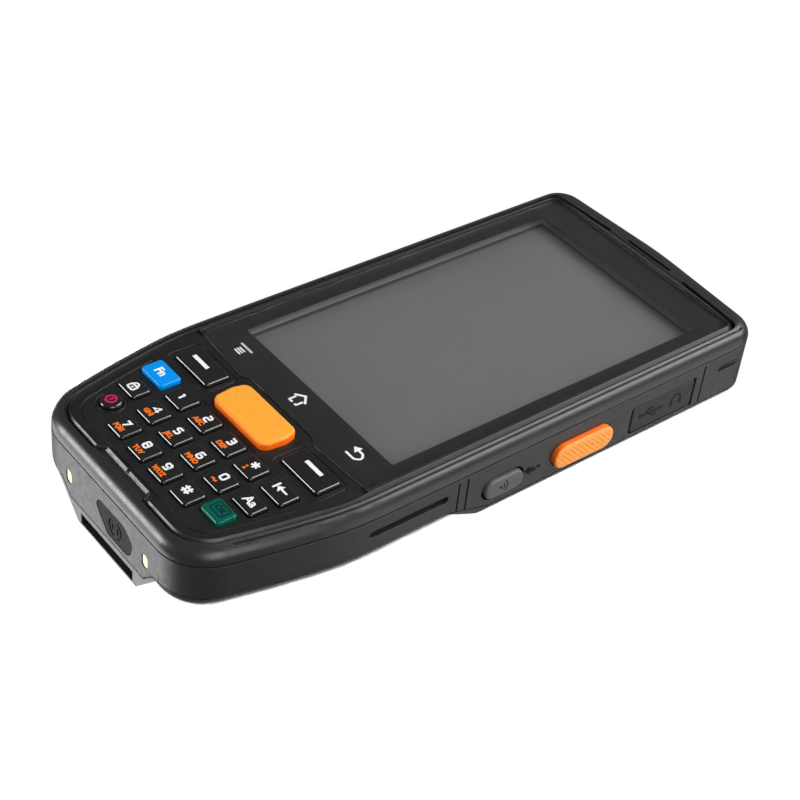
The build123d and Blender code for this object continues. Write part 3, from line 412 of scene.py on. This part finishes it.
class Mark:
    """Flat shapes in (u, v) mm gathered into one thin solid piece."""

    def __init__(self):
        self.shapes = []      # (outer ring, [inner ring]) or quad strips

    def line(self, pts, width, r=0.0, closed=False):
        pts = rounded([Vector(p) for p in pts], r, closed)
        l, rr = stroke(pts, width, closed)
        self.shapes.append(("strip", l, rr, closed))
        return self

    def poly(self, pts, r=0.0):
        self.shapes.append(("poly", rounded([Vector(p) for p in pts], r, True), None, True))
        return self

    def disc(self, c, rad, n=24):
        self.shapes.append(("poly", [Vector((c[0] + rad * math.cos(2 * math.pi * i / n), c[1] + rad * math.sin(2 * math.pi * i / n)))
                                     for i in range(n)], None, True))
        return self

    def arc(self, c, rad, a0, a1, width, n=18):
        full = abs(abs(a1 - a0) - 360) < 1e-6
        pts = [Vector((c[0] + rad * math.cos(math.radians(a0 + (a1 - a0) * i / n)),
                       c[1] + rad * math.sin(math.radians(a0 + (a1 - a0) * i / n)))) for i in range(n if full else n + 1)]
        l, rr = stroke(pts, width, full)
        self.shapes.append(("strip", l, rr, full))
        return self

    def text(self, string, size, at=(0, 0), fat=0.0, squeeze=1.0, spacing=1.0):
        cu = bpy.data.curves.new("t", "FONT")
        cu.body = string
        cu.size = size
        cu.align_x = "CENTER"
        cu.align_y = "CENTER"
        cu.offset = fat
        cu.space_character = spacing
        cu.resolution_u = 3
        tmp = bpy.data.objects.new("t", cu)
        bpy.context.scene.collection.objects.link(tmp)
        bpy.context.view_layer.update()
        me = bpy.data.meshes.new_from_object(tmp.evaluated_get(bpy.context.evaluated_depsgraph_get()))
        vs = [Vector((v.co.x * squeeze + at[0], v.co.y + at[1])) for v in me.vertices]
        self.shapes.append(("mesh", vs, [tuple(p.vertices) for p in me.polygons], False))
        bpy.data.objects.remove(tmp)
        bpy.data.curves.remove(cu)
        bpy.data.meshes.remove(me)
        return self

    def build(self, name, origin, axes, material, body, base=-0.01, top=0.03):
        right, up, out = axes
        verts, faces = [], []

        def pt(p, w):
            verts.append(origin + (right * p.x + up * p.y + out * w) * MM)
            return len(verts) - 1

        low, high = base, top
        for order, (kind, a, b, closed) in enumerate(self.shapes):
            # no two strokes of one mark lie in the same plane
            base, top = low - 0.003 * order, high + 0.003 * order
            if kind == "strip":
                n = len(a)
                idx = [(pt(a[i], base), pt(b[i], base), pt(b[i], top), pt(a[i], top)) for i in range(n)]
                last = n if closed else n - 1
                for i in range(last):
                    p, q = idx[i], idx[(i + 1) % n]
                    for j in range(4):
                        k = (j + 1) % 4
                        faces.append((p[j], p[k], q[k], q[j]))
                if not closed:
                    faces.append(idx[0][::-1])
                    faces.append(idx[-1])
            elif kind == "poly":
                lo = [pt(p, base) for p in a]
                hi = [pt(p, top) for p in a]
                n = len(a)
                faces.append(tuple(hi))
                faces.append(tuple(lo[::-1]))
                for i in range(n):
                    j = (i + 1) % n
                    faces.append((lo[i], lo[j], hi[j], hi[i]))
            else:
                lo = [pt(p, base) for p in a]
                hi = [pt(p, top) for p in a]
                edges = {}
                for f in b:
                    faces.append(tuple(hi[i] for i in f))
                    faces.append(tuple(lo[i] for i in f[::-1]))
                    for i in range(len(f)):
                        e = (f[i], f[(i + 1) % len(f)])
                        edges[e] = edges.get(e, 0) + 1
                for (i, j) in edges:
                    if (j, i) not in edges:
                        faces.append((lo[i], lo[j], hi[j], hi[i]))
        ob = add_piece(name, verts, faces, material, body)
        # outward normals whatever way a shape was drawn
        import bmesh
        bm = bmesh.new()
        bm.from_mesh(ob.data)
        bmesh.ops.recalc_face_normals(bm, faces=bm.faces)
        bm.to_mesh(ob.data)
        bm.free()
        return ob


def top_of(node):
    lo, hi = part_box(node)
    return Vector(((lo.x + hi.x) / 2, lo.y, (lo.z + hi.z) / 2))


# digits drawn with one squared stroke, as on moulded keys; unit box 1.0 x 1.4
DIGITS = {
    "0": [([(0, 0), (1, 0), (1, 1.4), (0, 1.4)], True)],
    "1": [([(0.22, 1.12), (0.62, 1.4), (0.62, 0)], False)],
    "2": [([(0, 1.4), (1, 1.4), (1, 0.74), (0, 0.74), (0, 0), (1.05, 0)], False)],
    "3": [([(0, 1.4), (1, 1.4), (1, 0), (0, 0)], False), ([(0.25, 0.72), (1, 0.72)], False)],
    "4": [([(0.80, 0), (0.80, 1.4)], False), ([(0.80, 1.36), (-0.12, 0.44), (1.15, 0.44)], False)],
    "5": [([(1, 1.4), (0, 1.4), (0, 0.78), (1, 0.78), (1, 0), (0, 0)], False)],
    "6": [([(0.95, 1.4), (0, 1.4), (0, 0), (1, 0), (1, 0.76), (0, 0.76)], False)],
    "7": [([(0, 1.4), (1.02, 1.4), (0.40, 0)], False)],
    "8": [([(0, 0), (1, 0), (1, 1.4), (0, 1.4)], True), ([(0, 0.73), (1, 0.73)], False)],
    "9": [([(0.05, 0), (1, 0), (1, 1.4), (0, 1.4), (0, 0.66), (1, 0.66)], False)],
}


def digit(ch, at, height=2.15, width=0.42):
    mk = Mark()
    k = (height - width) / 1.4
    for pts, closed in DIGITS[ch]:
        mk.line([((x - 0.5) * k * 1.02 + at[0], (y - 0.7) * k + at[1]) for x, y in pts], width, 0.0 if ch in "47" else 0.34, closed)
    return mk


LETTERS = {"2": "ABC", "3": "DEF", "4": "GHI", "5": "JKL", "6": "MNO", "7": "PQRS", "8": "TUV", "9": "WXYZ"}
DIGIT_AT = {"7": (-0.23, 0.52), "4": (0.0, 0.80), "5": (-0.33, 0.86), "2": (0.13, 0.72), "8": (-0.55, 0.88), "3": (-0.13, 0.88),
            "6": (0.20, 0.60), "9": (-0.60, 0.86), "0": (-0.17, 0.86), "1": (-0.35, 0.07)}
LETTERS_AT = {"4": (-0.42, -1.12), "7": (-0.22, -1.27), "2": (-0.42, -1.28), "5": (-0.36, -1.42), "8": (-0.43, -1.38),
              "3": (-0.55, -1.38), "6": (-0.10, -1.42), "9": (-0.50, -1.33)}
for ch in "0123456789":
    node = "key_" + ch
    digit(ch, DIGIT_AT[ch], 2.2, 0.36 if ch == "4" else 0.48).build("legend_" + ch, top_of(node), FRONT, INKWHITE, BODY_OF[node])
    if ch in LETTERS:
        t = LETTERS[ch]
        Mark().text(t, 1.62, LETTERS_AT[ch], 0.095, 0.96 if len(t) == 3 else 0.74).build(
            "letters_" + ch, top_of(node), FRONT, INKORANGE, BODY_OF[node])
    if ch == "0":
        Mark().line([(-1.5, -1.4), (-1.0, -1.0), (-0.5, -1.45), (0.05, -1.05)], 0.46, 0.2).build(
            "letters_0", top_of(node), FRONT, INKORANGE, BODY_OF[node])

k = "key_star"
mk = Mark()
for a in (90, 30, 150):
    c, s = math.cos(math.radians(a)), math.sin(math.radians(a))
    mk.line([(0.27 - c * 1.0, 0.84 - s * 1.0), (0.27 + c * 1.0, 0.84 + s * 1.0)], 0.46)
mk.build("legend_star", top_of(k), FRONT, INKWHITE, BODY_OF[k])
Mark().disc((-0.55, -0.65), 0.3).poly([(-0.9, -1.75), (-0.2, -1.75), (0.0, -1.2), (-0.7, -1.2)], 0.1).build(
    "letters_star", top_of(k), FRONT, INKORANGE, BODY_OF[k])
k = "key_hash"
mk = Mark()
for o in (-0.45, 0.45):
    mk.line([(o - 0.54, -0.85), (o - 0.54, 1.35)], 0.46)
    mk.line([(-1.65, o + 0.26), (0.57, o + 0.26)], 0.46)
mk.build("legend_hash", top_of(k), FRONT, INKWHITE, BODY_OF[k])
k = "key_shift"
Mark().text("Aa", 3.0, (0.08, 0.1), 0.07).build("legend_shift", top_of(k), FRONT, INKWHITE, BODY_OF[k])
k = "key_back"
Mark().line([(-1.7, -0.7), (-1.7, 1.5)], 0.46).line([(-1.0, 0.42), (1.75, 0.42)], 0.46).poly(
    [(-1.35, 0.42), (-0.1, -0.65), (-0.1, 1.5)]).build("legend_back", top_of(k), FRONT, INKWHITE, BODY_OF[k])
k = "key_lock"
Mark().line([(-0.95, -1.1), (0.95, -1.1), (0.95, 0.3), (-0.95, 0.3)], 0.46, 0.2, True).arc(
    (0, 0.4), 0.68, 0, 180, 0.40).disc((0, -0.4), 0.26).build("legend_lock", top_of(k), FRONT, INKWHITE, BODY_OF[k])
k = "key_fn"
Mark().text("Fn", 2.9, (-0.23, 0.0), 0.11).build("legend_fn", top_of(k), FRONT, INKWHITE, BODY_OF[k])
k = "key_ok"
Mark().line([(-1.9, -0.95), (1.95, -0.95), (1.95, 1.75), (-1.9, 1.75)], 0.3, 0.5, True).text("OK", 1.9, (0.04, 0.4), 0.07).build(
    "legend_ok", top_of(k), FRONT, INKTEAL, BODY_OF[k])
k = "key_power"
Mark().arc((-0.2, 0.1), 1.12, 0, 360, 0.42, 26).line([(-0.2, -0.25), (-0.2, 0.7)], 0.42).build(
    "legend_power", top_of(k), FRONT, INKRED, BODY_OF[k])
for k, u, v in (("key_soft_left", -1.0, 0.35), ("key_soft_right", 0.0, 0.91)):
    Mark().line([(u - 2.75, v), (u + 2.55, v)], 0.95).build(k.replace("key_", "legend_"), top_of(k), FRONT, INKWHITE, BODY_OF[k],
                                                      top=0.04)

# touch icons, printed under the glass
icons = P(0, 0, -1.12)
mk = Mark()
mk.line([(-22.95, -47.3), (-18.85, -47.3)], 0.55)
for i, yy in enumerate((-48.45, -49.1, -49.75)):
    mk.line([(-22.0, yy), (-19.9, yy)], 0.36)
hx, hy = -0.71, -47.73
mk.line([(hx - 1.95, hy + 0.15), (hx, hy + 1.75), (hx + 1.95, hy + 0.15)], 0.55)
mk.line([(hx - 1.2, hy + 0.1), (hx - 1.2, hy - 1.65), (hx - 0.1, hy - 1.65)], 0.5)
mk.line([(hx + 1.2, hy + 0.1), (hx + 1.2, hy - 1.65), (hx + 0.6, hy - 1.65)], 0.5)
bx, by = 19.72, -47.97
mk.line([(bx - 1.2, by + 1.15), (bx + 0.9, by + 1.15), (bx + 2.0, by), (bx + 0.9, by - 1.25), (bx - 1.9, by - 1.25)], 0.52, 0.9)
mk.poly([(bx - 2.2, by + 1.15), (bx - 0.6, by + 2.2), (bx - 0.6, by + 0.05)])
mk.build("touch_icons", icons, FRONT, INKWHITE, "base", base=0.0, top=0.02)

# ------------------------------------------------------------------ side marks
def side_x(y):
    return 35.5 - 0.9 * (y + 60.5) / 117.9


def side_at(y, z, s=1):
    return P(s * side_x(y), y, z)


# small arrow that points at the reset hole
Mark().poly([(-1.5, 0.0), (-0.1, 1.0), (-0.1, 0.38), (1.4, 0.38), (1.4, -0.38), (-0.1, -0.38), (-0.1, -1.0)]).build(
    "reset_arrow", side_at(-12.0, -10.6), RIGHT, INKDARK, "base")
# port cover: a forked line and a headset
Mark().line([(-3.3, 0), (3.3, 0)], 0.5).line([(-2.0, 0), (-1.0, 1.05), (0.8, 1.05)], 0.45).line([(-0.7, 0), (0.3, -1.05), (1.9, -1.05)], 0.45).disc(
    (-3.3, 0), 0.5).poly([(3.0, -0.6), (3.0, 0.6), (4.0, 0.0)]).build("mark_plug", P(34.5, 24.3, -10.6), RIGHT, INKDARK, BODY_OF["port_cover"])
Mark().arc((0, 0.0), 1.45, -10, 190, 0.42).line([(-1.45, -0.2), (-1.3, -1.5)], 0.85).line([(1.45, -0.2), (1.3, -1.5)], 0.85).build(
    "mark_headset", P(34.5, 32.2, -10.5), RIGHT, INKDARK, BODY_OF["port_cover"])
# grey key: a small speaker-wave mark; rocker: plus and minus
k = "side_key_grey"
lo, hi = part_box(k)
o = Vector((hi.x, (lo.y + hi.y) / 2, (lo.z + hi.z) / 2))
Mark().disc((-1.2, 0), 0.36).arc((-1.2, 0), 1.1, -50, 50, 0.26).arc((-1.2, 0), 1.9, -50, 50, 0.26).build(
    "mark_side_key", o, RIGHT, INKDARK, BODY_OF[k])
k = "volume_rocker"
lo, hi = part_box(k)
o = Vector((lo.x, (lo.y + hi.y) / 2, (lo.z + hi.z) / 2))
Mark().line([(-5.9, 0), (-4.3, 0)], 0.3).line([(4.3, 0), (5.9, 0)], 0.3).line([(5.1, -0.8), (5.1, 0.8)], 0.3).build(
    "mark_rocker", o, LEFT, INKDARK, BODY_OF[k])


# ------------------------------------------------------------------ marks on the back
TILT = math.atan2(2.7, 31.5)
BACK_FACE = -18.2
CAP = (D(-1, 0, 0), D(0, math.cos(TILT), -math.sin(TILT)), D(0, -math.sin(TILT), -math.cos(TILT)))


def cap_at(u, v, w=0.1):
    return P(0, 36.0, -29.53) + (CAP[0] * u + CAP[1] * v + CAP[2] * w) * MM


# plain numbers and bars in the sunk field of the scan head, in place of the maker's lettering
mk = Mark().arc((-11.6, 5.4), 1.45, 0, 360, 0.55).line([(-12.3, 5.4), (-10.9, 5.4)], 0.5)
mk.text("01234567", 2.5, (-3.2, 5.6), 0.10).text("890 123 456", 1.7, (-3.4, 3.1), 0.06).text("789 012 345", 1.7, (-3.4, 1.1), 0.06)
mk.text("678 901", 1.7, (-6.0, -0.9), 0.06)
bars = (0.30, 0.16, 0.46, 0.16, 0.30, 0.62, 0.16, 0.30, 0.16, 0.46, 0.30, 0.16, 0.62, 0.16, 0.30, 0.46, 0.16, 0.30)
u = 3.2
for i, w in enumerate(bars):
    if i % 2 == 0:
        mk.line([(u + w / 2, -3.9), (u + w / 2, -1.3)], w)
    u += w + 0.08
mk.text("000 000 000", 1.2, (6.1, -4.75), 0.04)
mk.build("plate_marks", cap_at(0, 0), CAP, INKWHITE, BODY_OF["scan_head_cap"])
# closed and open padlock beside the latch, as low mouldings
for nm, u0, v0, turn in (("mark_open", -12.3, 8.2, 0.75), ("mark_closed", 13.2, 8.2, 0.0)):
    mk = Mark().line([(-1.1, -1.3), (1.1, -1.3), (1.1, 0.2), (-1.1, 0.2)], 0.4, 0.2, True)
    mk.line([(-0.75 + turn, 0.2), (-0.75 + turn, 0.9), (-0.2 + turn, 1.5), (0.4 + turn, 1.5), (0.75 + turn, 0.9)] +
            ([] if turn else [(0.75, 0.2)]), 0.4, 0.2)
    mk.build(nm, P(-u0, v0, BACK_FACE), BACK, MOULDED, "base", base=-0.05, top=0.10)
# label of the battery, seen with the cover open
Mark().poly([(-15, -9), (15, -9), (15, 9), (-15, 9)], 1.0).build("battery_label", P(0, -38, -16.4), BACK, PAPER,
                                                              BODY_OF["battery"], base=-0.02, top=0.06)
mk = Mark()
for i, w in enumerate((20.0, 24.0, 17.0, 22.0)):
    mk.line([(-12.5, 6.0 - 2.4 * i), (-12.5 + w, 6.0 - 2.4 * i)], 0.7)
mk.line([(9.5, -6.0), (12.1, -6.0)], 0.6).line([(10.8, -7.3), (10.8, -4.7)], 0.6).line([(-12.1, -6.0), (-9.5, -6.0)], 0.6)
mk.build("battery_label_marks", P(0, -38, -16.4), BACK, INKDARK, BODY_OF["battery"], base=0.03, top=0.10)


# ------------------------------------------------------------------ diamond grip on the side scan keys
def grip(name, node, s):
    """Field of small pyramids on the outer face, fading out towards its rim."""
    lo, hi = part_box(node)
    y0, z0 = (lo.z + hi.z) / 2 / MM, (lo.y + hi.y) / 2 / MM      # along, across, in mm of the row frame
    ln, ht = (hi.z - lo.z) / MM - 1.5, (hi.y - lo.y) / MM - 1.5
    x = (hi.x if s > 0 else lo.x) / MM
    step = 0.13
    nu, nv = int(ln / step), int(ht / step)
    pitch, high = 0.95, 0.16

    def tri(t):
        t = t / pitch
        return 1 - 2 * abs(t - round(t))

    verts, faces, idx = [], [], {}
    rad = ht / 2
    for i in range(nu + 1):
        for j in range(nv + 1):
            u, v = -ln / 2 + ln * i / nu, -ht / 2 + ht * j / nv
            du = max(abs(u) - (ln / 2 - rad), 0.0)
            inside = rad - math.hypot(du, v)
            if inside < -0.02:
                continue
            fade = max(0.0, min(1.0, inside / 0.35))
            h = high * min(tri((u + v) * 0.7071), tri((u - v) * 0.7071)) * fade
            idx[i, j] = len(verts)
            verts.append(Vector((x + s * (h - 0.02), z0 + v, y0 + u)) * MM)
    n = len(verts)
    quads = []
    for i in range(nu):
        for j in range(nv):
            q = [(i, j), (i + 1, j), (i + 1, j + 1), (i, j + 1)]
            if all(c in idx for c in q):
                quads.append([idx[c] for c in q])
    verts += [Vector((v.x - s * 0.12 * MM, v.y, v.z)) for v in verts]
    for v in range(n, 2 * n):
        verts[v].x = (x - s * 0.12) * MM
    count = {}
    for q in quads:
        faces.append(tuple(q))
        faces.append(tuple(c + n for c in q[::-1]))
        for a, b in zip(q, q[1:] + q[:1]):
            count[a, b] = 1
    for a, b in list(count):
        if (b, a) not in count:
            faces.append((b, a, a + n, b + n))
    used = sorted({c for f in faces for c in f})
    new = {c: i for i, c in enumerate(used)}
    ob = add_piece(name, [verts[c] for c in used], [tuple(new[c] for c in f) for f in faces], SIDEORANGE, BODY_OF[node])
    import bmesh
    bm = bmesh.new()
    bm.from_mesh(ob.data)
    bmesh.ops.recalc_face_normals(bm, faces=bm.faces)
    bm.to_mesh(ob.data)
    bm.free()
    return ob


grip("grip_right", "side_scan_right", 1)
grip("grip_left", "side_scan_left", -1)

# ------------------------------------------------------------------ floor, light and camera
def stage_material():
    m, nt, b, out = nodes_of("stage_pale")
    src = coords(nt)
    n = noise(nt, src, 9.0, 3.0, 0.5)
    nt.links.new(mix(nt, n, (0.80, 0.80, 0.80), (0.84, 0.84, 0.84)), b.inputs["Base Color"])
    b.inputs["Roughness"].default_value = 0.9
    b.inputs["Specular IOR Level"].default_value = 0.1
    # the far floor runs out into the white backdrop
    far = nt.nodes.new("ShaderNodeVectorMath")
    far.operation = "LENGTH"
    nt.links.new(src, far.inputs[0])
    glow = nt.nodes.new("ShaderNodeEmission")
    glow.inputs["Color"].default_value = (1.0, 1.0, 1.0, 1.0)
    glow.inputs["Strength"].default_value = 1.0
    fade = nt.nodes.new("ShaderNodeMixShader")
    nt.links.new(span(nt, far.outputs["Value"], 0.05, 0.42, 0.35, 1.0), fade.inputs[0])
    nt.links.new(b.outputs[0], fade.inputs[1])
    nt.links.new(glow.outputs[0], fade.inputs[2])
    tr = nt.nodes.new("ShaderNodeBsdfTransparent")
    geo = nt.nodes.new("ShaderNodeNewGeometry")
    ms = nt.nodes.new("ShaderNodeMixShader")
    nt.links.new(geo.outputs["Backfacing"], ms.inputs[0])
    nt.links.new(fade.outputs[0], ms.inputs[1])
    nt.links.new(tr.outputs[0], ms.inputs[2])
    nt.links.new(ms.outputs[0], out.inputs[0])
    return m


me = bpy.data.meshes.new("floor")
R = 3.0
me.from_pydata([(-R, -R, 0), (R, -R, 0), (R, R, 0), (-R, R, 0)], [], [(0, 1, 2, 3)])
floor = bpy.data.objects.new("floor", me)
floor.location = (0, 0, -0.00015)
bpy.context.scene.collection.objects.link(floor)
me.materials.append(stage_material())
floor.visible_shadow = False
floor.visible_glossy = False
floor.visible_diffuse = False
floor.visible_transmission = False

world = bpy.data.worlds.new("studio")
bpy.context.scene.world = world
world.use_nodes = True
wt = world.node_tree
wt.nodes.clear()
wo = wt.nodes.new("ShaderNodeOutputWorld")
soft = wt.nodes.new("ShaderNodeBackground")
soft.inputs["Color"].default_value = (1, 1, 1, 1)
soft.inputs["Strength"].default_value = 0.12
seen = wt.nodes.new("ShaderNodeBackground")
seen.inputs["Color"].default_value = (1, 1, 1, 1)
seen.inputs["Strength"].default_value = 1.0
lp = wt.nodes.new("ShaderNodeLightPath")
wm = wt.nodes.new("ShaderNodeMixShader")
wt.links.new(lp.outputs["Is Camera Ray"], wm.inputs[0])
wt.links.new(soft.outputs[0], wm.inputs[1])
wt.links.new(seen.outputs[0], wm.inputs[2])
wt.links.new(wm.outputs[0], wo.inputs[0])

CENTRE = Vector((0, 0, 0.077))


def softbox(name, direction, distance, width, height, radiance, spread=180):
    d = D(*direction).normalized()
    la = bpy.data.lights.new(name, "AREA")
    la.shape = "RECTANGLE"
    la.size, la.size_y = width, height
    la.energy = radiance * math.pi * width * height
    la.spread = math.radians(spread)
    ob = bpy.data.objects.new(name, la)
    ob.location = CENTRE + d * distance
    ob.rotation_mode = "QUATERNION"
    ob.rotation_quaternion = (-d).to_track_quat("-Z", "Y")
    ob.visible_camera = False
    bpy.context.scene.collection.objects.link(ob)
    return ob


softbox("edge_key", (-0.56, -0.80, 0.20), 0.9, 0.36, 0.36, 15.0)
softbox("end_low", (-0.574, -0.634, -0.518), 0.9, 0.80, 0.70, 3.0)
softbox("right_top", (0.518, 0.634, 0.574), 1.0, 0.50, 0.50, 1.0)
softbox("front_fill", (0.28, 0.67, 0.69), 1.0, 0.80, 0.80, 6.2)
softbox("side_low", (0.80, 0.58, -0.35), 1.2, 1.10, 0.90, 1.1)
softbox("side_fill", (0.85, -0.25, 0.42), 1.2, 0.80, 0.80, 4.0)
softbox("left_low", (-0.85, 0.20, -0.42), 0.9, 0.40, 0.40, 5.0)
softbox("back_soft", (-0.35, 0.45, -0.85), 1.2, 1.00, 1.00, 4.0)

cam_data = bpy.data.cameras.new("camera")
cam_data.lens = 81.305
cam_data.sensor_width = 36.0
cam_data.clip_start, cam_data.clip_end = 0.01, 20.0
cam = bpy.data.objects.new("camera", cam_data)
cam.rotation_mode = "QUATERNION"
cam.location = (0.230730, -0.257467, -0.133013)
cam.rotation_quaternion = Quaternion((0.285153, 0.850969, -0.186366, 0.399759))
bpy.context.scene.collection.objects.link(cam)
bpy.context.scene.camera = cam
bpy.context.scene.view_settings.view_transform = "Standard"
bpy.context.scene.view_settings.look = "None"
